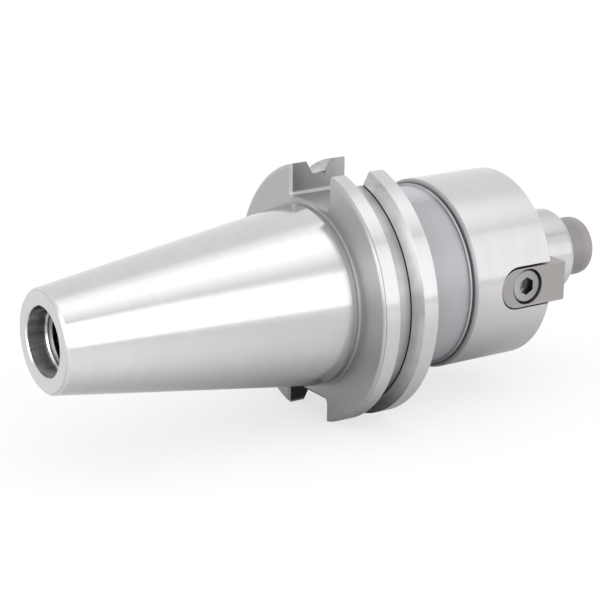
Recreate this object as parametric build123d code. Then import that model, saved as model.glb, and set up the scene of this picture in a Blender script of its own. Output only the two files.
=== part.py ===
from build123d import *
import math
import os

# Face mill arbor with a 7/24 taper shank of size 40, a 22 mm pilot and a 60 mm gauge length.
# All sizes are in millimetres. X runs along the spindle axis, from the gauge plane of the
# taper towards the cutter. Z points up through one of the two flange slots.

# Taper shank
gauge_diameter = 44.45
taper_ratio = 7 / 24
shank_length = 68.25
shank_end_chamfer = 0.6
taper_overrun = 0.9

# Hole for the pull stud, in the small end of the shank
stud_pilot_diameter = 16.5
stud_pilot_depth = 4.4
stud_thread_diameter = 15.88
stud_thread_depth = 26.0
stud_edge_break = 0.25

# Relief between the taper and the flange
relief_depth = 0.85
relief_side = 0.35
collar_diameter = 44.4
collar_width = 0.45

# Flange with its gripper groove and two drive slots
flange_diameter = 63.5
flange_rear = 3.175
flange_width = 15.875
flange_rear_chamfer = 0.45
flange_front_chamfer = 0.3
groove_centre = 11.225
groove_rim_width = 7.65
groove_depth = 3.5
groove_angle = 60.0
groove_undercut_width = 0.45
groove_undercut_depth = 0.35
slot_width = 16.4
slot_floor_top = 22.8
slot_floor_bottom = 25.0
slot_corner_radius = 1.0
slot_edge_chamfer = 0.65

# Neck and head
neck_diameter = 44.5
step_diameter = 45.8
step_width = 0.45
step_gap = 0.55
step_gap_diameter = 44.0
head_diameter = 48.0
head_length = 23.65
head_rear_chamfer = 0.7
head_front_chamfer = 0.35
gauge_length = 60.0

# Pilot that centres the cutter, and its retaining screw
pilot_diameter = 22.0
pilot_length = 18.4
pilot_end_chamfer = 0.8
cutter_screw_thread = 10.0
cutter_screw_length = 25.0
cutter_screw_head = 15.3
cutter_screw_head_height = 9.7
cutter_screw_edge = 0.6
cutter_screw_edge_length = 1.8
cutter_screw_hex = 8.0
cutter_screw_hex_depth = 5.0

# Drive keys, let into the head on both sides
key_width = 10.0
key_overhang = 4.6
key_length = 20.0
key_thickness = 9.0
key_outer_radius = 23.5
key_chamfer = 0.2
key_corner_chamfer = 0.3
key_side_clearance = 0.45
key_drop = 0.2

# Screws that hold the keys
key_screw_thread = 5.0
key_screw_length = 10.0
key_screw_head = 8.4
key_screw_head_height = 5.0
key_screw_edge = 0.35
key_screw_hex = 4.0
key_screw_hex_depth = 2.6
key_screw_setback = 12.0
key_screw_recess = 0.45
key_counterbore_clearance = 0.35
key_hole_clearance = 0.25

# Tapped holes
thread_clearance = 0.05
tap_runout = 2.5
drill_point_angle = 118.0
mouth_chamfer = 0.4
tip_share = 0.1
overcut = 1.0

# Places that follow from the sizes
gauge_radius = gauge_diameter / 2
flange_radius = flange_diameter / 2
flange_front = flange_rear + flange_width
neck_radius = neck_diameter / 2
head_radius = head_diameter / 2
head_rear = gauge_length - head_length
pilot_radius = pilot_diameter / 2
pilot_end = gauge_length + pilot_length
key_front = gauge_length + key_overhang
key_round_centre = key_front - key_length + key_width / 2
key_seat_radius = key_outer_radius - key_thickness
key_screw_x = key_front - key_screw_setback
key_screw_seat = key_outer_radius - key_screw_recess - key_screw_head_height
key_sides = {1: -1, 2: 1}


def revolved(points):
    """Solid turned about X from a closed outline of (x, radius) points."""
    outline = Polyline(*points, close=True)
    return revolve(make_face(outline), Axis.X)


def taper_radius(x):
    """Radius of the 7/24 cone at x."""
    return gauge_radius + x * taper_ratio / 2


def groove_points():
    """Outline of the gripper groove, with the undercut at the foot of its front flank."""
    half_rim = groove_rim_width / 2
    floor_radius = flange_radius - groove_depth
    flank_run = groove_depth * math.tan(math.radians(groove_angle / 2))
    foot_front = groove_centre + half_rim - flank_run
    return [
        (groove_centre - half_rim, flange_radius),
        (groove_centre - half_rim + flank_run, floor_radius),
        (foot_front - groove_undercut_width, floor_radius),
        (foot_front - groove_undercut_width, floor_radius - groove_undercut_depth),
        (foot_front, floor_radius - groove_undercut_depth),
        (foot_front, floor_radius),
        (groove_centre + half_rim, flange_radius),
    ]


def body_outline():
    """Half section of the arbor from the small end of the shank to the end of the pilot."""
    shank_end = -shank_length
    chamfered_at = shank_end + shank_end_chamfer
    relief_start = taper_overrun + relief_side
    relief_floor = gauge_radius - relief_depth
    collar_radius = collar_diameter / 2
    shank = [
        (shank_end, 0),
        (shank_end, taper_radius(shank_end) - shank_end_chamfer),
        (chamfered_at, taper_radius(chamfered_at)),
        (taper_overrun, taper_radius(taper_overrun)),
        (relief_start, relief_floor),
        (flange_rear - collar_width, relief_floor),
        (flange_rear - collar_width, collar_radius),
        (flange_rear, collar_radius),
    ]
    flange = [
        (flange_rear, flange_radius - flange_rear_chamfer),
        (flange_rear + flange_rear_chamfer, flange_radius),
        *groove_points(),
        (flange_front - flange_front_chamfer, flange_radius),
        (flange_front, flange_radius - flange_front_chamfer),
        (flange_front, neck_radius),
    ]
    gap_start = head_rear - step_gap
    head = [
        (gap_start - step_width, neck_radius),
        (gap_start - step_width, step_diameter / 2),
        (gap_start, step_diameter / 2),
        (gap_start, step_gap_diameter / 2),
        (head_rear, step_gap_diameter / 2),
        (head_rear, head_radius - head_rear_chamfer),
        (head_rear + head_rear_chamfer, head_radius),
        (gauge_length - head_front_chamfer, head_radius),
        (gauge_length, head_radius - head_front_chamfer),
    ]
    pilot = [
        (gauge_length, pilot_radius),
        (pilot_end - pilot_end_chamfer, pilot_radius),
        (pilot_end, pilot_radius - pilot_end_chamfer),
        (pilot_end, 0),
    ]
    return shank + flange + head + pilot


def slot_section(floor, grow):
    """Section of a drive slot seen along X, its mouth upwards, grown by a chamfer's width."""
    half_width = slot_width / 2 + grow
    depth = flange_radius + overcut - floor + grow
    section = Pos(0, floor - grow) * Rectangle(2 * half_width, depth, align=(Align.CENTER, Align.MIN))
    corners = section.vertices().sort_by(Axis.Y)[:2]
    return fillet(corners, slot_corner_radius + grow)


def drive_slot(side, floor):
    """Cutter for one slot across the flange, open outwards along side times Z, with its rear chamfer."""
    rear = Plane(origin=(flange_rear, 0, 0), x_dir=(0, side, 0), z_dir=(1, 0, 0))
    through = extrude(rear.offset(-overcut) * slot_section(floor, 0), amount=flange_width + 2 * overcut)
    lead_in = extrude(rear * slot_section(floor, slot_edge_chamfer), amount=slot_edge_chamfer, taper=45)
    return through + lead_in


def key_profile(grow):
    """Key seen along Y: straight sides, one round end, grown by a clearance."""
    half_width = key_width / 2 + grow
    length = key_front - key_round_centre
    bar = Rectangle(length, 2 * half_width, align=(Align.MIN, Align.CENTER))
    return bar + Circle(half_width)


def key_plane(radius, side, drop=0.0):
    """Plane square to Y at this distance from the axis, whose Z points outwards."""
    return Plane(origin=(key_round_centre, side * radius, -drop), x_dir=(1, 0, 0), z_dir=(0, side, 0))


def key_pocket(side):
    """Pocket for one key, open at the head's front face and round its rim."""
    depth = head_radius + overcut - key_seat_radius
    return extrude(key_plane(key_seat_radius, side) * key_profile(key_side_clearance), amount=depth)


def tapped_hole(plane, diameter, depth, mouth):
    """Blind tapped hole into a plane: wall, drill point and a small mouth chamfer."""
    radius = diameter / 2
    point = radius / math.tan(math.radians(drill_point_angle / 2))
    outline = Polyline(
        (0, overcut),
        (radius + mouth + overcut, overcut),
        (radius, -mouth),
        (radius, -depth),
        (0, -depth - point),
        close=True,
    )
    hole = revolve(make_face(Plane.XZ * outline), Axis.Z)
    return plane.location * hole


def stud_hole():
    """Hole for the pull stud: a plain pilot at its mouth, then the thread's outside and a drill point."""
    mouth = -shank_length
    pilot_wall = stud_pilot_diameter / 2
    thread_wall = stud_thread_diameter / 2
    pilot_bottom = mouth + stud_pilot_depth
    thread_end = pilot_bottom + stud_thread_depth
    point = thread_wall / math.tan(math.radians(drill_point_angle / 2))
    return revolved([
        (mouth - overcut, 0),
        (mouth - overcut, pilot_wall + stud_edge_break + overcut),
        (mouth + stud_edge_break, pilot_wall),
        (pilot_bottom, pilot_wall),
        (pilot_bottom, thread_wall),
        (thread_end, thread_wall),
        (thread_end + point, 0),
    ])


def arbor_body():
    """Turned and ground body with its slots, key pockets and tapped holes."""
    body = revolved(body_outline())
    body -= drive_slot(1, slot_floor_top)
    body -= drive_slot(-1, slot_floor_bottom)
    body -= stud_hole()
    pilot_face = Plane(origin=(pilot_end, 0, 0), x_dir=(0, 0, 1), z_dir=(1, 0, 0))
    cutter_hole = cutter_screw_thread + 2 * thread_clearance
    body -= tapped_hole(pilot_face, cutter_hole, cutter_screw_length + tap_runout, mouth_chamfer)
    key_hole = key_screw_thread + 2 * thread_clearance
    key_hole_depth = key_screw_length - (key_screw_seat - key_seat_radius) + tap_runout / 2
    for side in key_sides.values():
        body -= key_pocket(side)
        seat = Plane(origin=(key_screw_x, side * key_seat_radius, 0), x_dir=(0, 0, 1), z_dir=(0, side, 0))
        body -= tapped_hole(seat, key_hole, key_hole_depth, mouth_chamfer / 2)
    return body


def drive_key(side):
    """Drive key with a round inner end and a counterbored screw hole, on the low side of its pocket."""
    outline = key_profile(0)
    outline = chamfer(outline.vertices().group_by(Axis.X)[-1], key_corner_chamfer)
    straight = key_thickness - key_chamfer
    key = extrude(key_plane(key_seat_radius, side, key_drop) * outline, amount=straight)
    crown = key_plane(key_seat_radius + straight, side, key_drop)
    key += extrude(crown * outline, amount=key_chamfer, taper=45)
    on_face = Plane(origin=(key_screw_x, side * key_outer_radius, 0), x_dir=(0, 0, 1), z_dir=(0, side, 0))
    counterbore = Circle(key_screw_head / 2 + key_counterbore_clearance)
    clearance_hole = Circle(key_screw_thread / 2 + key_hole_clearance)
    key -= extrude(on_face * counterbore, amount=-(key_outer_radius - key_screw_seat))
    key -= extrude(on_face * clearance_hole, amount=-key_thickness)
    return key


def socket_screw(plane, thread, length, head, head_height, edge, hexagon, hexagon_depth):
    """Socket head screw whose head stands on the plane. edge is its rim's chamfer, across and along."""
    shank = thread / 2
    tip = thread * tip_share
    rim = head / 2
    across, along = edge
    outline = Polyline(
        (0, -length),
        (shank - tip, -length),
        (shank, tip - length),
        (shank, 0),
        (rim, 0),
        (rim, head_height - along),
        (rim - across, head_height),
        (0, head_height),
        close=True,
    )
    screw = revolve(make_face(Plane.XZ * outline), Axis.Z)
    socket = RegularPolygon(radius=hexagon / 2, side_count=6, major_radius=False)
    screw -= extrude(Plane.XY.offset(head_height) * socket, amount=-hexagon_depth)
    return plane.location * screw


def key_screw(side):
    """Screw that holds one key, its head inside the key's counterbore."""
    seat = Plane(origin=(key_screw_x, side * key_screw_seat, 0), x_dir=(0, 0, 1), z_dir=(0, side, 0))
    return socket_screw(
        seat, key_screw_thread, key_screw_length, key_screw_head, key_screw_head_height,
        (key_screw_edge, key_screw_edge), key_screw_hex, key_screw_hex_depth,
    )


def cutter_screw():
    """Screw in the end of the pilot that holds the cutter."""
    seat = Plane(origin=(pilot_end, 0, 0), x_dir=(0, 0, 1), z_dir=(1, 0, 0))
    return socket_screw(
        seat, cutter_screw_thread, cutter_screw_length, cutter_screw_head, cutter_screw_head_height,
        (cutter_screw_edge, cutter_screw_edge_length), cutter_screw_hex, cutter_screw_hex_depth,
    )


def main():
    """Build every piece and write one file for each."""
    pieces = {"arbor_body": arbor_body(), "cutter_screw": cutter_screw()}
    for number, side in key_sides.items():
        pieces[f"drive_key_{number}"] = drive_key(side)
        pieces[f"key_screw_{number}"] = key_screw(side)
    os.makedirs("parts", exist_ok=True)
    for name, piece in pieces.items():
        export_step(piece, f"parts/{name}.step")


main()
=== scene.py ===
import math

import bpy
import numpy as np
from mathutils import Matrix, Vector


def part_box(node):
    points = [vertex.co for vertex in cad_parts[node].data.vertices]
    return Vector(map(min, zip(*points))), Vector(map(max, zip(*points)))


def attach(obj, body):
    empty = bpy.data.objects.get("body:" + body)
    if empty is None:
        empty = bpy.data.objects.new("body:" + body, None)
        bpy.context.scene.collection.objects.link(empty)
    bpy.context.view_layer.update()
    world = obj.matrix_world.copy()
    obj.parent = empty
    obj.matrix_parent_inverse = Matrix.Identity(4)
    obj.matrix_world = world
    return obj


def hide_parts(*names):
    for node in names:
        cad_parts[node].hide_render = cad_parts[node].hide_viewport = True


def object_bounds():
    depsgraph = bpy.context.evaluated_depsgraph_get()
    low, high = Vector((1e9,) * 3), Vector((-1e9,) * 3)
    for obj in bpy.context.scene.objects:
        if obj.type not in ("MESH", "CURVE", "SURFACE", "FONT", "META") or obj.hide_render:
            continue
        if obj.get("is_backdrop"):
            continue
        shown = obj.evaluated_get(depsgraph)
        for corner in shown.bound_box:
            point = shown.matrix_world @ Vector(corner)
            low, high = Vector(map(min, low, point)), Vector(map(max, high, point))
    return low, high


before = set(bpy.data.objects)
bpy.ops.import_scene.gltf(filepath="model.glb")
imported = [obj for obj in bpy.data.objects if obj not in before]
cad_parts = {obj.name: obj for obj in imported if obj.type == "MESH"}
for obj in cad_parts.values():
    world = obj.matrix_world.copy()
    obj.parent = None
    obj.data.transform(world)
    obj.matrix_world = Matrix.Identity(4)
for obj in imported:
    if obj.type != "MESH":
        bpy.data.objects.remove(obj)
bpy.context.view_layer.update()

# Face mill arbor: ground taper, grooved flange, head with drive keys, pilot and cutter screw.
# X is the spindle axis. Sizes are in millimetres, and MM turns them into metres.

MM = 0.001

# Shank, from the small end to the collar before the flange
shank_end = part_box("arbor_body")[0].x / MM
shank_chamfer = 0.6
small_rim_radius = 11.0
taper_end = 0.9
collar_start = 2.725
collar_radius = 22.2

# Hole for the pull stud, in the small end
stud_mouth_radius = 8.85
stud_pilot_radius = 8.25
stud_pilot_end = shank_end + 4.4
stud_lead_start = shank_end + 4.5
stud_thread_start = shank_end + 5.0
stud_thread_end = shank_end + 30.4
stud_lead_end_radius = 7.4
stud_thread_radius = 7.94
stud_thread_pitch = 25.4 / 11
stud_thread_depth = 1.05
stud_thread_crest = stud_thread_radius - stud_thread_depth - 0.03
stud_hole_end = -30.0

# Flange with the gripper groove and the drive slots
flange_rear = 3.175
flange_front = 19.05
flange_radius = 31.75
flange_rear_face = 31.3
flange_rear_ring = 30.95
flange_front_face = 31.44
groove_start = 7.75
groove_end = 14.8
groove_floor_radius = 28.7
below_the_groove = 27.0
undercut_start = 12.88
undercut_end = 13.15
undercut_floor_radius = 28.45
undercut_rim = 28.892
slot_half_width = 8.2
slot_mouth_width = 0.65
slot_floor_radius = 23.0

# Neck and head, with the pockets and screws of the keys
step_radius = 22.9
step_gap_start = 35.8
step_gap_radius = 22.0
head_rear = 36.35
head_front = 60.0
head_radius = 24.0
head_chamfer = 0.7
head_rear_face = 23.3
head_front_face = 23.65
key_pocket_start = 44.3
key_pocket_half_width = 5.45
key_seat_radius = 14.5
key_face_radius = 23.5
key_side_start = 4.7
key_screw_x = 52.6
key_screw_top = 23.05
key_screw_head_radius = 3.6
key_socket_radius = 2.4
key_socket_depth = 2.54

# Pilot and cutter screw
pilot_radius = 11.0
pilot_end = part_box("arbor_body")[1].x / MM
pilot_face = 79.05
pilot_rounding = 1.5
pilot_hole_radius = 5.06
cutter_thread_pitch = 1.5
cutter_thread_depth = 0.92

# How far a finish reaches past the surface that it belongs to
margin = 0.02
face_margin = 0.03


class Graph:
    """Short names for the shader nodes of one material."""

    def __init__(self, material):
        self.tree = material.node_tree
        self.tree.nodes.clear()

    def add(self, kind, **settings):
        """A new node with these settings."""
        node = self.tree.nodes.new(kind)
        for name, value in settings.items():
            setattr(node, name, value)
        return node

    def feed(self, socket, value):
        """Links a socket to the input, or writes a plain value into it."""
        if isinstance(value, bpy.types.NodeSocket):
            self.tree.links.new(value, socket)
        else:
            socket.default_value = value

    def math(self, operation, a, b=0.0, clamp=False):
        """One number worked out from two."""
        node = self.add("ShaderNodeMath", operation=operation, use_clamp=clamp)
        self.feed(node.inputs[0], a)
        self.feed(node.inputs[1], b)
        return node.outputs[0]

    def both(self, *masks):
        """The product of masks."""
        result = masks[0]
        for mask in masks[1:]:
            result = self.math("MULTIPLY", result, mask)
        return result

    def mix(self, factor, a, b, blend="MIX"):
        """A colour between a and b."""
        node = self.add("ShaderNodeMix", data_type="RGBA", blend_type=blend)
        self.feed(node.inputs[0], factor)
        self.feed(node.inputs[6], a)
        self.feed(node.inputs[7], b)
        return node.outputs[2]

    def spread(self, value, low, high, low_to, high_to):
        """The value carried from one range to another, and held at its ends."""
        node = self.add("ShaderNodeMapRange")
        for place, number in zip((1, 2, 3, 4), (low, high, low_to, high_to)):
            node.inputs[place].default_value = number
        self.feed(node.inputs[0], value)
        return node.outputs[0]

    def noise(self, vector, scale, detail=3.0, rough=0.5):
        """Soft noise from zero to one at a place."""
        node = self.add("ShaderNodeTexNoise", noise_dimensions="3D")
        self.feed(node.inputs["Vector"], vector)
        node.inputs["Scale"].default_value = scale
        node.inputs["Detail"].default_value = detail
        node.inputs["Roughness"].default_value = rough
        return node.outputs["Fac"]

    def stretched(self, vector, scale):
        """A place with each coordinate scaled by its own number."""
        stretch = self.add("ShaderNodeMapping")
        stretch.inputs["Scale"].default_value = scale
        self.feed(stretch.inputs["Vector"], vector)
        return stretch.outputs[0]

    def length(self, a, b):
        """The length of a line with these two sides."""
        squares = [self.math("MULTIPLY", side, side) for side in (a, b)]
        return self.math("SQRT", self.math("ADD", *squares))

    def grey(self, value, shares=(1.0, 1.0, 1.0)):
        """A colour with this value, times a share for each of its parts."""
        join = self.add("ShaderNodeCombineColor")
        for place, share in enumerate(shares):
            self.feed(join.inputs[place], self.math("MULTIPLY", value, share))
        return join.outputs[0]

    def split(self, vector):
        """The three coordinates of a place."""
        node = self.add("ShaderNodeSeparateXYZ")
        self.feed(node.inputs[0], vector)
        return node.outputs


class Turned:
    """Coordinates of a turned piece in millimetres: x, y, z and the radius."""

    def __init__(self, graph):
        self.graph = graph
        place = graph.add("ShaderNodeTexCoord").outputs["Object"]
        scaled = graph.add("ShaderNodeVectorMath", operation="SCALE")
        graph.feed(scaled.inputs[0], place)
        scaled.inputs["Scale"].default_value = 1 / MM
        self.place = scaled.outputs[0]
        self.x, self.y, self.z = graph.split(self.place)
        self.radius = graph.length(self.y, self.z)
        self.side_y = graph.math("ABSOLUTE", self.y)
        self.side_z = graph.math("ABSOLUTE", self.z)

    def zone(self, **ranges):
        """One where each named coordinate is in its range, zero elsewhere. None is an open end."""
        masks = []
        for name, (low, high) in ranges.items():
            if low is not None:
                masks.append(self.graph.math("GREATER_THAN", getattr(self, name), low))
            if high is not None:
                masks.append(self.graph.math("LESS_THAN", getattr(self, name), high))
        return self.graph.both(*masks)

    def around(self):
        """Tangent that runs round the axis, as the marks of turning and grinding do."""
        tangent = self.graph.add("ShaderNodeVectorMath", operation="CROSS_PRODUCT")
        tangent.inputs[0].default_value = (1.0, 0.0, 0.0)
        self.graph.feed(tangent.inputs[1], self.place)
        return tangent.outputs[0]

    def rings(self, pitch, swing):
        """Coordinate that changes fast along the profile and slowly round the axis."""
        along = self.graph.math("ADD", self.x, self.radius)
        safe = self.graph.math("MAXIMUM", self.radius, 0.1)
        join = self.graph.add("ShaderNodeCombineXYZ")
        self.graph.feed(join.inputs[0], self.graph.math("DIVIDE", along, pitch))
        for place, part in ((1, self.y), (2, self.z)):
            share = self.graph.math("DIVIDE", part, safe)
            self.graph.feed(join.inputs[place], self.graph.math("MULTIPLY", share, swing))
        return join.outputs[0]


def steel(name, colour, roughness, anisotropic=0.0):
    """A metal material with one principled shader, and the graph to build its pattern in."""
    material = bpy.data.materials.new(name)
    material.use_nodes = True
    graph = Graph(material)
    output = graph.add("ShaderNodeOutputMaterial")
    shader = graph.add("ShaderNodeBsdfPrincipled")
    graph.feed(output.inputs["Surface"], shader.outputs[0])
    shader.inputs["Metallic"].default_value = 1.0
    shader.inputs["Base Color"].default_value = (*colour, 1.0)
    shader.inputs["Roughness"].default_value = roughness
    shader.inputs["Anisotropic"].default_value = anisotropic
    shader.inputs["Anisotropic Rotation"].default_value = 0.25 if anisotropic else 0.0
    return material, graph, shader


def bump(graph, height, distance):
    """The normal of a relief with a height between zero and one times a depth in metres."""
    node = graph.add("ShaderNodeBump")
    node.inputs["Strength"].default_value = 1.0
    node.inputs["Distance"].default_value = distance
    graph.feed(node.inputs["Height"], height)
    return node.outputs[0]


def grainy(graph, shader, grain, smooth, rough, depth):
    """Gives a shader a grain that changes its roughness from smooth to rough, and a depth."""
    graph.feed(shader.inputs["Roughness"], graph.spread(grain, 0.25, 0.75, smooth, rough))
    graph.feed(shader.inputs["Normal"], bump(graph, grain, depth))


# Where each finish of the body lies, and each mark of painted light or shade: the range of each
# coordinate, with None for an open end
small_end_zone = {"x": (None, shank_end + 0.1)}
groove_zone = {
    "x": (groove_start - margin, groove_end + margin),
    "radius": (below_the_groove, flange_radius - 0.01),
    "side_y": (slot_half_width + face_margin, None),
}
slot_zone = {
    "x": (flange_rear + margin, flange_front - margin),
    "side_y": (None, slot_half_width + face_margin),
    "radius": (None, flange_radius - 0.05),
}
rear_face_zone = {
    "x": (flange_rear - face_margin, flange_rear + face_margin),
    "radius": (collar_radius, flange_rear_face),
}
body_zones = {
    "head": {"x": (head_rear + head_chamfer, None)},
    "pilot": {"x": (head_front + margin, None)},
    "small_end": small_end_zone,
    "small_rim": {
        "x": (shank_end + margin, shank_end + shank_chamfer),
        "radius": (small_rim_radius, None),
    },
    "stud_hole": {
        "x": (None, stud_hole_end),
        "radius": (None, stud_pilot_radius + margin),
    },
    "stud_mouth": {**small_end_zone, "radius": (stud_pilot_radius, stud_mouth_radius)},
    "hole_step": {
        "x": (stud_pilot_end - face_margin, stud_pilot_end + face_margin),
        "radius": (stud_thread_radius - 0.05, stud_pilot_radius - 0.01),
    },
    "lead_in": {
        "x": (stud_lead_start, stud_thread_start + 0.01),
        "radius": (stud_lead_end_radius, stud_thread_radius - 0.01),
    },
    "relief": {
        "x": (taper_end + face_margin, collar_start + margin),
        "radius": (None, collar_radius + 0.2),
    },
    "collar": {
        "x": (collar_start + margin, flange_rear + 0.01),
        "radius": (None, collar_radius + 0.1),
    },
    "rear_face": rear_face_zone,
    "rear_ring": {**rear_face_zone, "radius": (flange_rear_ring, flange_rear_face)},
    "rear_edge": {
        "x": (flange_rear + 0.015, flange_rear + 0.8),
        "radius": (flange_rear_face - 0.01, None),
    },
    "front_face": {
        "x": (flange_front - face_margin, flange_front + face_margin),
        "radius": (collar_radius, flange_front_face),
    },
    "groove": groove_zone,
    "groove_below": {**groove_zone, "z": (None, 1.0)},
    "groove_floor": {
        **groove_zone,
        "x": (groove_start + 1.75, undercut_start + 0.01),
        "radius": (below_the_groove, groove_floor_radius + margin),
    },
    "undercut": {
        **groove_zone,
        "x": (undercut_start - margin, undercut_end + margin),
        "radius": (below_the_groove, undercut_rim),
    },
    "slots": slot_zone,
    "lower_slot": {**slot_zone, "z": (None, 0.0)},
    "slot_walls": {
        **slot_zone,
        "side_y": (slot_half_width - face_margin, slot_half_width + face_margin),
    },
    "slot_mouth": {
        "x": (flange_rear + margin, flange_rear + slot_mouth_width + 0.01),
        "side_y": (slot_half_width + margin, slot_half_width + slot_mouth_width + margin),
        "radius": (slot_floor_radius, flange_rear_face),
    },
    "neck": {
        "x": (flange_front + margin, head_rear + 0.01),
        "radius": (None, step_radius + 0.05),
    },
    "step_rim": {
        "x": (step_gap_start - 0.47, step_gap_start - margin),
        "radius": (step_radius - 0.05, step_radius + 0.05),
    },
    "step_gap": {
        "x": (step_gap_start - margin, head_rear + margin),
        "radius": (step_gap_radius - 0.1, head_rear_face - 0.05),
    },
    "head_edge": {
        "x": (head_rear, head_rear + head_chamfer + 0.01),
        "radius": (head_rear_face - 0.05, None),
    },
    "head_face": {
        "x": (head_front - margin, head_front + margin),
        "radius": (pilot_radius - 0.1, head_front_face),
    },
    "pocket": {
        "x": (key_pocket_start - margin, head_front - 0.01),
        "side_z": (None, key_pocket_half_width + margin),
        "side_y": (key_seat_radius - margin, key_face_radius + 0.1),
        "radius": (None, head_radius - 0.1),
    },
}

# The finish of each zone, laid on in this order: colour, roughness and share of the fine lines.
# Where marked, a zone's colour is painted light or shade.
body_finishes = [
    ("head", (0.59, 0.585, 0.60), 0.18, 0.4),
    ("pilot", (0.575, 0.57, 0.57), 0.20, 0.4),
    ("small_end", (0.60, 0.60, 0.605), 0.32, 0.4),
    ("small_rim", (0.68, 0.68, 0.68), 0.30, 0.3),
    ("stud_hole", (0.62, 0.63, 0.65), 0.30, 0.2),
    # Painted highlight on the mouth of the hole, and painted shade on the step inside it
    ("stud_mouth", (0.96, 0.96, 0.96), 0.30, 0.2),
    ("hole_step", (0.10, 0.10, 0.105), 0.35, 0.2),
    ("lead_in", (0.72, 0.715, 0.70), 0.35, 0.2),
    ("relief", (0.52, 0.52, 0.53), 0.50, 0.6),
    ("collar", (0.66, 0.66, 0.67), 0.40, 0.4),
    ("rear_face", (0.45, 0.44, 0.445), 0.42, 0.5),
    ("front_face", (0.50, 0.49, 0.49), 0.42, 0.5),
    # Painted highlight on the face's outer ring, and painted highlight and shade on the rear edge,
    # for a bigger chamfer than the mesh has
    ("rear_ring", (0.50, 0.50, 0.50), 0.30, 0.2),
    ("rear_edge", (0.48, 0.48, 0.48), 0.25, 0.2),
    ("groove", (0.53, 0.525, 0.525), 0.34, 1.0),
    ("groove_floor", (0.40, 0.395, 0.41), 0.36, 1.0),
    # Painted shade: near black in the undercut
    ("undercut", (0.075, 0.075, 0.08), 0.60, 0.2),
    ("slots", (0.415, 0.405, 0.415), 0.40, 0.3),
    # Painted shade: the lower slot is dark; then a painted band for the slots' lead-in chamfer
    ("lower_slot", (0.14, 0.14, 0.15), 0.40, 0.3),
    ("slot_mouth", (0.40, 0.40, 0.41), 0.40, 0.3),
    ("neck", (0.47, 0.47, 0.49), 0.60, 0.7),
    ("step_rim", (0.52, 0.52, 0.53), 0.40, 0.4),
    # Painted shade in the gap before the head
    ("step_gap", (0.32, 0.32, 0.33), 0.60, 0.3),
    ("head_edge", (0.46, 0.46, 0.47), 0.40, 0.4),
    ("head_face", (0.60, 0.60, 0.61), 0.30, 0.5),
    # Painted shade: near black in the pockets round the keys
    ("pocket", (0.05, 0.05, 0.05), 0.45, 0.3),
]

# Painted light and shade: how a zone's colour changes, from one share to another over this range
# of a coordinate or noise. The rows by x, z and radius lay painted highlights, reflections and
# shade into the colour, lighter or darker by height, side and depth; the 'drawn' and 'patchy' rows
# are streaks and patches of the steel's own tone.
body_changes = [
    ("rear_edge", "x", flange_rear, flange_rear + 0.33, 0.8, 1.05),
    ("rear_edge", "x", flange_rear + 0.48, flange_rear + 0.7, 1.0, 0.6),
    ("rear_face", "z", -22.0, -10.0, 1.2, 1.0),
    ("groove", "radius", 29.9, 31.2, 1.15, 0.95),
    ("groove", "z", 3.0, 10.0, 0.88, 1.0),
    ("groove", "z", -25.0, -13.0, 0.50, 1.0),
    ("groove", "z", 27.0, 28.0, 1.0, 0.84),
    ("groove", "z", 28.4, 29.0, 1.0, 1.14),
    ("groove", "patchy", 0.35, 0.65, 0.93, 1.06),
    ("groove_below", "radius", 30.2, 30.9, 1.0, 1.2),
    ("groove_floor", "x", 11.0, undercut_start, 1.0, 0.65),
    ("groove_floor", "z", 7.0, 9.5, 1.15, 0.93),
    ("groove_floor", "z", -1.0, 2.0, 0.92, 1.0),
    ("groove_floor", "z", 25.5, 26.3, 1.0, 1.22),
    ("slot_walls", "x", 4.0, 8.0, 0.80, 1.0),
    ("slot_walls", "x", 16.0, 17.0, 1.0, 1.12),
    ("pilot", "z", 10.0, 10.9, 1.0, 0.85),
    ("pilot", "z", 8.4, 9.3, 1.0, 1.08),
    ("pilot", "z", 6.8, 7.8, 0.88, 1.0),
    ("pilot", "z", 3.9, 5.2, 1.15, 1.0),
    ("relief", "z", -20.0, -8.0, 0.85, 1.0),
    ("neck", "x", 24.0, 31.0, 0.90, 1.0),
    ("neck", "z", -14.0, 1.0, 1.2, 1.0),
    ("neck", "z", 20.7, 22.0, 1.0, 1.3),
    ("head", "z", 9.0, 14.0, 1.0, 1.08),
    ("head_edge", "x", head_rear, head_rear + 0.7, 0.6, 1.1),
    ("small_rim", "radius", 11.5, 12.1, 0.72, 1.0),
    ("stud_hole", "drawn", 0.35, 0.65, 0.55, 1.5),
    ("stud_hole", "z", -6.5, -2.5, 1.5, 1.05),
    ("stud_hole", "z", 2.5, 6.5, 1.0, 0.3),
    ("lead_in", "z", -3.0, 2.0, 1.0, 0.7),
]


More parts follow.
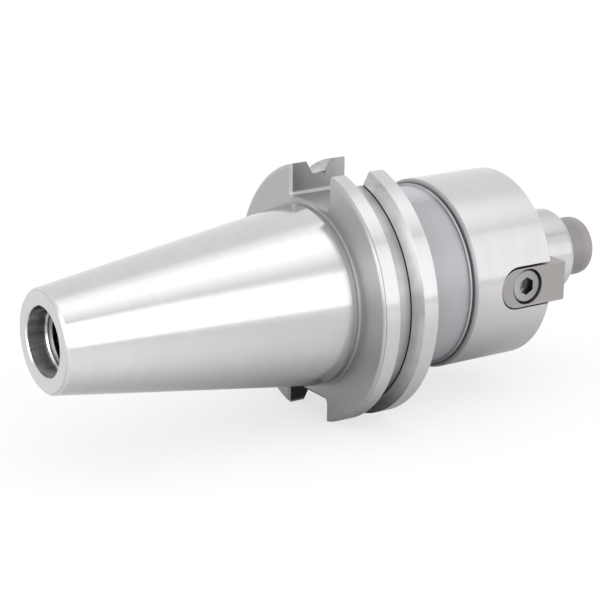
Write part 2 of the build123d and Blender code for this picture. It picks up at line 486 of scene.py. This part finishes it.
def body_material():
    """Ground, turned and milled finishes of the arbor's body, told apart by where they lie, with
    painted light and shade laid into their colours.
    """
    material, graph, shader = steel("arbor_steel", (0.8, 0.8, 0.81), 0.2, anisotropic=0.5)
    at = Turned(graph)
    zones = {name: at.zone(**ranges) for name, ranges in body_zones.items()}
    # Painted highlight: the ring round the hole's mouth is white only on its lit side, standing in
    # for a chamfer that catches the light.
    slanted_y = graph.math("MULTIPLY", at.y, 0.94)
    lit_side = graph.math("SUBTRACT", slanted_y, graph.math("MULTIPLY", at.z, 0.34))
    zones["stud_mouth"] = graph.both(
        zones["stud_mouth"], graph.spread(lit_side, 7.3, 8.0, 0.0, 1.0)
    )
    colour = (0.64, 0.64, 0.645, 1.0)
    surface = (0.16, 0.25, 0.0, 1.0)
    for name, tint, roughness, lines in body_finishes:
        colour = graph.mix(zones[name], colour, (*tint, 1.0))
        surface = graph.mix(zones[name], surface, (roughness, lines, 0.0, 1.0))
    parts = graph.add("ShaderNodeSeparateColor")
    graph.feed(parts.inputs[0], surface)
    roughness, lines = parts.outputs[0], parts.outputs[1]
    fine = graph.noise(at.rings(0.12, 3.0), 1.0)
    wide = graph.noise(at.rings(2.5, 1.5), 1.0, detail=2.0)
    shade = graph.both(
        graph.spread(fine, 0.3, 0.7, 0.95, 1.0),
        graph.spread(wide, 0.3, 0.7, 0.97, 1.0),
    )
    changes_with = {
        "x": at.x,
        "z": at.z,
        "radius": at.radius,
        "drawn": graph.noise(graph.stretched(at.place, (0.05, 0.36, 0.36)), 1.0, rough=0.6),
        "patchy": graph.noise(at.place, 0.3),
    }
    for name, coordinate, low, high, low_to, high_to in body_changes:
        share = graph.spread(changes_with[coordinate], low, high, low_to, high_to)
        rest = graph.math("SUBTRACT", 1.0, zones[name])
        shade = graph.both(shade, graph.math("ADD", graph.both(zones[name], share), rest))
    graph.feed(shader.inputs["Base Color"], graph.mix(1.0, colour, shade, blend="MULTIPLY"))
    streaked = graph.both(roughness, graph.spread(fine, 0.25, 0.75, 0.85, 1.15))
    graph.feed(shader.inputs["Roughness"], streaked)
    graph.feed(shader.inputs["Tangent"], at.around())
    graph.feed(shader.inputs["Normal"], bump(graph, graph.both(fine, lines), 0.0000012))
    return material


def key_material():
    """Matte ground steel of the drive keys, with painted light on their top and bottom sides."""
    colour = (0.342, 0.325, 0.32)
    material, graph, shader = steel("key_steel", colour, 0.42)
    at = Turned(graph)
    lit_sides = graph.spread(at.side_z, key_side_start, key_side_start + 0.05, 1.0, 1.16)
    shaded = graph.mix(1.0, (*colour, 1.0), lit_sides, blend="MULTIPLY")
    graph.feed(shader.inputs["Base Color"], shaded)
    grain = graph.noise(graph.stretched(at.place, (0.4, 0.4, 9.0)), 1.0)
    grainy(graph, shader, grain, 0.38, 0.48, 0.0000015)
    return material


def cutter_screw_material():
    """Cold formed steel of the cutter screw, with a faint grain and painted light on its end and
    its top.
    """
    colour, roughness = (0.278, 0.267, 0.263), 0.5
    material, graph, shader = steel("cutter_screw_steel", colour, roughness)
    at = Turned(graph)
    lit_end_and_top = graph.both(
        graph.spread(at.x, 84.5, 87.5, 1.0, 1.25),
        graph.spread(at.z, 6.4, 7.6, 1.0, 1.18),
    )
    shaded = graph.mix(1.0, (*colour, 1.0), lit_end_and_top, blend="MULTIPLY")
    graph.feed(shader.inputs["Base Color"], shaded)
    grain = graph.noise(at.place, 2.5)
    grainy(graph, shader, grain, roughness * 0.85, roughness * 1.15, 0.000002)
    return material


def stud_thread_material():
    """Cut steel of the thread in the shank: painted light on the flanks, fading to painted shade
    at the roots, darker crests, and painted shade deeper in.
    """
    material, graph, shader = steel("thread_steel", (0.45, 0.44, 0.44), 0.4)
    at = Turned(graph)
    shade_inwards = graph.spread(at.x, stud_thread_start + 1.0, stud_thread_start + 3.0, 1.0, 0.2)
    crest = stud_thread_crest
    flank = graph.spread(at.radius, crest + 0.35, crest + 0.9, 0.27, 0.03)
    on_crest = graph.math("LESS_THAN", at.radius, crest + 0.03)
    lit = graph.math("SUBTRACT", flank, graph.math("MULTIPLY", on_crest, 0.2))
    tone = graph.grey(graph.both(shade_inwards, lit), (1.0, 0.96, 0.92))
    graph.feed(shader.inputs["Base Color"], tone)
    grainy(graph, shader, graph.noise(at.place, 1.5), 0.34, 0.46, 0.000003)
    return material


def key_screw_material():
    """Satin steel of the key screws, with painted shade in the socket, least on its floor, and
    painted light falling off across the head.
    """
    colour = (0.375, 0.37, 0.37)
    material, graph, shader = steel("key_screw_steel", colour, 0.34)
    at = Turned(graph)
    offset = graph.math("SUBTRACT", at.x, key_screw_x)
    inside = graph.both(
        graph.math("LESS_THAN", graph.length(offset, at.z), key_socket_radius),
        at.zone(side_y=(key_screw_top - 2.8, key_screw_top - margin)),
    )
    # Painted shade in the socket: floor_shade and wall_shade, joined as depth.
    at_floor = graph.math("LESS_THAN", at.side_y, key_screw_top - key_socket_depth)
    floor_shade = graph.spread(offset, 0.6, 1.4, 1.0, 0.5)
    wall_shade = graph.spread(at.side_y, key_screw_top - 2.5, key_screw_top - 1.5, 0.15, 0.01)
    depth = graph.math(
        "ADD",
        graph.both(at_floor, floor_shade),
        graph.both(graph.math("SUBTRACT", 1.0, at_floor), wall_shade),
    )
    # Painted light: the head is lighter on one side and darker on the other.
    fall = graph.spread(offset, -key_screw_head_radius, key_screw_head_radius, 1.05, 0.73)
    shaded = graph.mix(1.0, (*colour, 1.0), fall, blend="MULTIPLY")
    graph.feed(shader.inputs["Base Color"], graph.mix(inside, shaded, graph.grey(depth)))
    grainy(graph, shader, graph.noise(at.place, 2.5), 0.30, 0.40, 0.000002)
    return material


def dress(material, *nodes):
    """Gives these nodes of the frame a material."""
    for node in nodes:
        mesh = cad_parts[node].data
        mesh.materials.clear()
        mesh.materials.append(material)


def link(name, mesh):
    """A new object of the scene with this mesh."""
    piece = bpy.data.objects.new(name, mesh)
    bpy.context.scene.collection.objects.link(piece)
    return piece


def woven(name, rows, material, ends="fan", crease=32.0):
    """A closed skin over rows of places in millimetres, each row a closed loop.

    A face joins two neighbouring places of a row to the same two of the next row, and the last
    place of a row joins its first. With the ends "looped" the last row joins the first row. With
    "folded" each end is closed by quads from the first half of its row to the second half, taken
    backwards. With "fan" triangles close each end on the middle of its row. Edges that turn by
    more degrees than the crease stay sharp.
    """
    looped = ends == "looped"
    count, across = rows.shape[:2]
    last_row = (count - 1) * across
    places = rows.reshape(-1, 3)
    steps = np.arange(count if looped else count - 1)
    i, j = np.meshgrid(steps, np.arange(across), indexing="ij")
    row, next_row = i * across, (i + 1) % count * across
    beside = (j + 1) % across
    quads = np.stack([row + j, row + beside, next_row + beside, next_row + j], axis=-1)
    faces = quads.reshape(-1, 4).tolist()
    if ends == "folded":
        step = np.arange(across // 2 - 1)
        cap = np.stack([step, across - 1 - step, across - 2 - step, step + 1], axis=-1)
        faces += cap.tolist() + (last_row + cap[:, ::-1]).tolist()
    if ends == "fan":
        places = np.concatenate([places, rows[[0, -1]].mean(axis=1)])
        step = np.arange(across)
        following = (step + 1) % across
        first_middle = np.full(across, count * across)
        faces += np.stack([first_middle, following, step], axis=-1).tolist()
        faces += np.stack(
            [first_middle + 1, last_row + step, last_row + following], axis=-1
        ).tolist()
    mesh = bpy.data.meshes.new(name)
    mesh.from_pydata((places * MM).tolist(), [], faces)
    mesh.shade_smooth()
    mesh.set_sharp_from_angle(angle=math.radians(crease))
    mesh.materials.append(material)
    return link(name, mesh)


def full_turn(count):
    """Angles once round the axis, as one row."""
    return np.linspace(0.0, 2 * math.pi, count, endpoint=False)[None, :]


def turned_rows(along, radius, turn):
    """Places round the X axis at distances along it, radii and angles from +Y towards +Z."""
    along, radius, turn = np.broadcast_arrays(along, radius, turn)
    return np.stack([along, radius * np.cos(turn), radius * np.sin(turn)], axis=-1)


def turned_ring(name, profile, material):
    """A closed ring round the axis, with a closed profile of distances along it and radii."""
    profile = np.array(profile)
    rows = turned_rows(profile[:, :1], profile[:, 1:], full_turn(180))
    return woven(name, rows, material, ends="looped")


def thread_depth(along, turn, pitch, depth, flat_crest, flat_root):
    """Depth below the crest of a right-hand thread at a distance along the axis and an angle.

    The phase is the distance in pitches less the angle in turns. From the middle of the crest
    the depth stays zero over half of flat_crest, falls in a straight flank, and stays at its
    full value over half of flat_root up to the middle of the root. The other half mirrors it.
    """
    phase = (along / pitch - turn / (2 * math.pi)) % 1.0
    from_crest = np.minimum(phase, 1.0 - phase)
    flank = 0.5 - (flat_crest + flat_root) / 2
    return depth * np.clip((from_crest - flat_crest / 2) / flank, 0.0, 1.0)


def stud_thread(material):
    """Thread of the pull stud's hole, as a thin lining of the plain hole of the CAD model.

    The inner skin has the radius of the crest plus the thread's depth, held back to the wall
    within a third of a pitch of each end. The outer skin is a plain tube just inside the steel.
    """
    turn = full_turn(180)
    start, end = stud_thread_start + 0.05, stud_thread_end - 0.1
    along = np.linspace(start, end, 260)[:, None]
    fall = thread_depth(along, turn, stud_thread_pitch, stud_thread_depth, 0.18, 0.12)
    lead = np.minimum(along - start, end - along) / (stud_thread_pitch / 3)
    held_back = stud_thread_depth * (1.0 - np.clip(lead, 0.0, 1.0))
    inner = turned_rows(along, stud_thread_crest + np.maximum(fall, held_back), turn)
    outer = turned_rows(along[::-1], stud_thread_radius + 0.02, turn)
    return woven("stud_thread", np.concatenate([inner, outer]), material, ends="looped")


def stud_lead_in(material):
    """The 60 degree lead-in cone before the thread of the pull stud's hole."""
    in_the_steel = stud_thread_radius + 0.02
    return turned_ring("stud_lead_in", [
        [stud_lead_start, stud_thread_radius - 0.01],
        [stud_thread_start, stud_thread_radius - 0.28],
        [stud_thread_start + 0.03, in_the_steel],
        [stud_lead_start, in_the_steel],
    ], material)


def pilot_rim(material):
    """The rounded end of the pilot, a quarter of a circle that runs into the flat end face.

    The first three places of the profile lie just inside the chamfered end of the CAD model.
    """
    quarter = np.linspace(0.0, math.radians(88.0), 13)[:, None]
    middle_x = pilot_face - pilot_rounding
    middle_radius = pilot_radius - pilot_rounding
    rounding = np.concatenate([
        middle_x + pilot_rounding * np.cos(quarter),
        middle_radius + pilot_rounding * np.sin(quarter),
    ], axis=1)
    inside = [
        [middle_x + 0.06, pilot_radius - 0.1],
        [pilot_end - 0.03, pilot_radius - 0.9],
        [pilot_end - 0.03, pilot_hole_radius],
        [pilot_face, pilot_hole_radius],
    ]
    return turned_ring("pilot_rim", np.concatenate([inside, rounding]), material)


def groove_lining(name, middle, material):
    """One side's flanks, floor and undercut of the gripper groove, over those of the CAD model.

    The outer half of the profile is the visible surface. The inner half follows the deeper
    groove of the CAD model, just inside the steel. At each end every place turns as far as the
    side wall of the drive slot, which is the quarter turn less the angle whose sine is the
    slot's half width over the place's radius.
    """
    flank_run = (flange_radius - groove_floor_radius) * math.tan(math.radians(30.0))
    rim_start, rim_end = 7.395, 15.055
    visible = [
        [rim_start, flange_radius],
        [groove_start, flange_radius],
        [groove_start + flank_run, groove_floor_radius],
        [undercut_start, groove_floor_radius],
        [undercut_start, undercut_floor_radius],
        [undercut_end, undercut_floor_radius],
        [undercut_end, undercut_rim],
        [groove_end, flange_radius],
        [rim_end, flange_radius],
    ]
    buried = [
        [rim_end, 31.70],
        [14.86, 31.35],
        [13.45, 28.90],
        [13.05, 27.88],
        [12.57, 27.88],
        [12.56, 28.22],
        [9.40, 28.22],
        [7.60, 31.35],
        [rim_start, 31.70],
    ]
    along, radius = np.array(visible + buried).T
    share = np.linspace(1.0, -1.0, 121)[:, None]
    turn = middle + share * (math.pi / 2 - np.arcsin(slot_half_width / radius))
    rows = turned_rows(along, radius, turn)
    return woven(name, rows, material, ends="folded", crease=25.0)


def hexagon_radius(turn, across_flats):
    """Distance from a hexagon's middle to its side at an angle, corners at whole sixths."""
    sixth = math.pi / 3
    return across_flats / 2 / np.cos(turn % sixth - sixth / 2)


def cutter_screw(material):
    """The socket head screw in the pilot: threaded shank, rounded head and hexagon socket.

    The profile runs from the tip along the shank to the head, over its rounded rim to the
    socket and down to its drilled bottom. The shank's radius is the thread's outside less its
    depth, never more than the tip's cone. The rim is a quarter of an ellipse.
    """
    turn = full_turn(120)
    length, shank_radius, tip_radius = 25.65, 5.0, 4.0
    head_radius, head_height, rim_run, rim_drop = 7.65, 9.05, 1.8, 0.6
    mouth_radius, mouth_depth = 5.0, 0.25
    socket_width, socket_depth = 8.0, 5.0
    drill_radius, drill_end, point_radius, point_end = 3.6, 5.1, 0.4, 6.6
    along = np.linspace(-length, -0.02, 240)[:, None]
    fall = thread_depth(along, turn, cutter_thread_pitch, cutter_thread_depth, 0.125, 0.2)
    fall = fall * np.clip(-along / cutter_thread_pitch - 0.3, 0.0, 1.0)
    tip = tip_radius + (along + length)
    shank = turned_rows(pilot_face + along, np.minimum(shank_radius - fall, tip), turn)
    quarter = np.linspace(0.0, math.pi / 2, 9)[:, None]
    rim_start = head_height - rim_run
    rounding = np.concatenate([
        rim_start + rim_run * np.sin(quarter),
        head_radius - rim_drop + rim_drop * np.cos(quarter),
    ], axis=1)
    profile = np.concatenate([
        [[0.0, shank_radius], [0.0, head_radius - 0.2], [0.2, head_radius]],
        np.linspace([0.6, head_radius], [rim_start - 0.4, head_radius], 4),
        rounding,
        [[head_height, mouth_radius]],
    ])
    head = turned_rows(pilot_face + profile[:, :1], profile[:, 1:], turn)
    top = pilot_face + head_height
    flats = hexagon_radius(turn, socket_width)
    socket = [
        turned_rows(top - depth, radius, turn)
        for depth, radius in (
            (mouth_depth, flats),
            (socket_depth, flats),
            (drill_end, drill_radius),
            (point_end, point_radius),
        )
    ]
    return woven("cutter_screw_turned", np.concatenate([shank, head, *socket]), material)


# The corners of a square, once round
square = ((-1, -1), (1, -1), (1, 1), (-1, 1))


def facing(azimuth, elevation):
    """Direction out from the object. Azimuth runs from -Y towards +X, both in degrees."""
    turn, rise = math.radians(azimuth), math.radians(elevation)
    flat = math.cos(rise)
    return Vector((math.sin(turn) * flat, -math.cos(turn) * flat, math.sin(rise)))


def sheet(name, corners):
    """A flat sheet with four corners, marked as a backdrop, and its material's graph."""
    mesh = bpy.data.meshes.new(name)
    mesh.from_pydata([tuple(corner) for corner in corners], [], [(0, 1, 2, 3)])
    material = bpy.data.materials.new(name)
    material.use_nodes = True
    mesh.materials.append(material)
    holder = link(name, mesh)
    holder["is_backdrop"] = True
    return holder, Graph(material)


def shine(graph, kind, socket, value):
    """Ends a graph with one shader of this kind, and feeds one of its sockets."""
    output = graph.add("ShaderNodeOutputMaterial")
    shader = graph.add(kind)
    graph.feed(shader.inputs[socket], value)
    graph.feed(output.inputs["Surface"], shader.outputs[0])


def card(name, corners, strength):
    """A glowing card. strength gets the graph and the card's own coordinates, 0 to 1 each way."""
    holder, graph = sheet(name, corners)
    spots = holder.data.uv_layers.new(name="card")
    spots.data.foreach_set("uv", np.array([0, 0, 1, 0, 1, 1, 0, 1], dtype=np.float32))
    across, up, _ = graph.split(graph.add("ShaderNodeUVMap", uv_map="card").outputs[0])
    shine(graph, "ShaderNodeEmission", "Strength", strength(graph, across, up))
    holder.visible_camera = False
    holder.visible_shadow = False
    return holder


def upright_card(name, left, right, low, high, strength):
    """An upright card a metre away, between two azimuths and two elevations in degrees."""
    distance, rise_distance = 1.0, 1.25
    middle = (left + right) / 2
    reach = distance * math.tan(math.radians((right - left) / 2))
    outwards = facing(middle, 0.0) * distance
    sideways = facing(middle + 90.0, 0.0) * reach
    upwards = Vector((0.0, 0.0, rise_distance))
    corners = [
        object_centre + outwards + sideways * side + upwards * math.tan(math.radians(height))
        for side, height in ((-1, low), (1, low), (1, high), (-1, high))
    ]
    return card(name, corners, strength)


def front_card():
    """A wide upright card before the object, brightest at its left and fading to the right."""

    def strength(graph, across, up):
        return graph.spread(across, 0.45, 0.82, 1.85, 1.0)

    upright_card("front_card", -50.0, 75.0, -4.0, 41.0, strength)


def left_card():
    """A card at the small end's side, for chamfers and the groove's flank, fading outwards."""

    def fade(graph, part):
        offset = graph.math("ABSOLUTE", graph.math("SUBTRACT", part, 0.5))
        return graph.spread(offset, 0.2, 0.5, 1.0, 0.0)

    def strength(graph, across, up):
        extra = graph.both(fade(graph, across), fade(graph, up), 1.9)
        return graph.math("ADD", extra, 1.0)

    upright_card("left_card", -110.0, -48.0, -14.0, 30.0, strength).visible_diffuse = False


def top_card():
    """An overhead card whose light fades away from its centre."""
    distance, reach = 0.8, 0.48
    away = facing(55.0, 71.0)
    sideways = away.cross(Vector((0.0, 0.0, 1.0))).normalized()
    upwards = sideways.cross(away)
    middle = object_centre + away * distance
    corners = [middle + (sideways * a + upwards * b) * reach for a, b in square]

    def strength(graph, across, up):
        offsets = [
            graph.math("MULTIPLY", graph.math("SUBTRACT", part, 0.5), 2.0)
            for part in (across, up)
        ]
        return graph.spread(graph.length(*offsets), 0.15, 1.0, 1.8, 1.0)

    card("top_card", corners, strength)


def under_card():
    """A grey sheet just over the floor, which only the metal sees, darkest below the object:
    painted shade on the floor as the metal reflects it.
    """
    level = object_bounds()[0][2] + 0.5 * MM
    corners = [(-0.2, -0.25, level), (0.3, -0.25, level), (0.3, 0.25, level), (-0.2, 0.25, level)]
    holder, graph = sheet("under_card", corners)
    x, y, _ = graph.split(graph.add("ShaderNodeTexCoord").outputs["Object"])
    away = graph.math("ABSOLUTE", graph.math("ADD", y, 0.002))
    below = graph.spread(away, 0.008, 0.032, 0.80, 0.95)
    along = graph.math(
        "ADD",
        graph.spread(x, -0.045, 0.01, 1.0, 0.82),
        graph.spread(x, 0.05, 0.12, 0.0, 0.17),
    )
    shine(graph, "ShaderNodeBsdfDiffuse", "Color", graph.grey(graph.both(below, along)))
    holder.visible_camera = False
    holder.visible_shadow = False
    holder.visible_diffuse = False


def seen_by_eye_or_metal(graph):
    """One for rays that the camera, a reflection or a clear piece sends out, zero for others."""
    path = graph.add("ShaderNodeLightPath")
    seen = graph.math("ADD", path.outputs["Is Camera Ray"], path.outputs["Is Glossy Ray"])
    return graph.math("ADD", seen, path.outputs["Is Transmission Ray"], clamp=True)


def blended(graph, output, share, first, second):
    """Ends a graph with the first shader, turned by a share into the second."""
    blend = graph.add("ShaderNodeMixShader")
    for place, value in enumerate((share, first, second)):
        graph.feed(blend.inputs[place], value)
    graph.feed(graph.add(output).inputs["Surface"], blend.outputs[0])


def floor():
    """A pale floor under the lowest point of the flange."""
    size = 3.0
    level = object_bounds()[0][2]
    corners = [(size * a, size * b, level) for a, b in square]
    graph = sheet("floor", corners)[1]
    paper = graph.add("ShaderNodeBsdfDiffuse")
    paper.inputs["Color"].default_value = (0.9, 0.9, 0.9, 1.0)
    white = graph.add("ShaderNodeEmission")
    white.inputs["Strength"].default_value = 1.0
    share = graph.math("MULTIPLY", seen_by_eye_or_metal(graph), 0.7)
    blended(graph, "ShaderNodeOutputMaterial", share, paper.outputs[0], white.outputs[0])


def surroundings():
    """A grey room that reads white to the camera."""
    world = bpy.data.worlds.new("room")
    bpy.context.scene.world = world
    world.use_nodes = True
    graph = Graph(world)
    height = graph.split(graph.add("ShaderNodeTexCoord").outputs["Generated"])[2]
    white = (1.0, 1.0, 1.0, 1.0)
    room, backdrop = graph.add("ShaderNodeBackground"), graph.add("ShaderNodeBackground")
    for shader, strength in ((room, graph.spread(height, 0.0, 1.0, 0.15, 1.45)), (backdrop, 1.0)):
        shader.inputs["Color"].default_value = white
        graph.feed(shader.inputs["Strength"], strength)
    share = seen_by_eye_or_metal(graph)
    blended(graph, "ShaderNodeOutputWorld", share, room.outputs[0], backdrop.outputs[0])


def camera():
    """The camera at the photograph's place, fitted to the outline of the object."""
    place = Vector((-255.355, -385.605, 141.517)) * MM
    right = Vector((0.83452, -0.55089, 0.00964)).normalized()
    up = Vector((0.15469, 0.25106, 0.95553))
    lens = bpy.data.cameras.new("camera")
    lens.sensor_width = 36.0
    lens.lens = 119.88
    lens.clip_start = 0.01
    eye = link("camera", lens)
    back = right.cross(up).normalized()
    up = back.cross(right)
    turn = Matrix((right, up, back)).transposed().to_4x4()
    eye.matrix_world = Matrix.Translation(place) @ turn
    bpy.context.scene.camera = eye


object_centre = (Vector(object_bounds()[0]) + Vector(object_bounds()[1])) / 2

arbor_steel = body_material()
cutter_screw_steel = cutter_screw_material()
dress(arbor_steel, "arbor_body")
dress(key_material(), "drive_key_1", "drive_key_2")
dress(key_screw_material(), "key_screw_1", "key_screw_2")
dress(cutter_screw_steel, "cutter_screw")

for piece in (
    stud_thread(stud_thread_material()),
    stud_lead_in(arbor_steel),
    pilot_rim(arbor_steel),
    groove_lining("groove_lining_back", 0.0, arbor_steel),
    groove_lining("groove_lining_front", math.pi, arbor_steel),
):
    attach(piece, "arbor")
turned_screw = cutter_screw(cutter_screw_steel)
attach(turned_screw, "retaining_screw")
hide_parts("cutter_screw")

camera()
floor()
surroundings()
front_card()
left_card()
top_card()
under_card()
bpy.context.scene.view_settings.view_transform = "Standard"
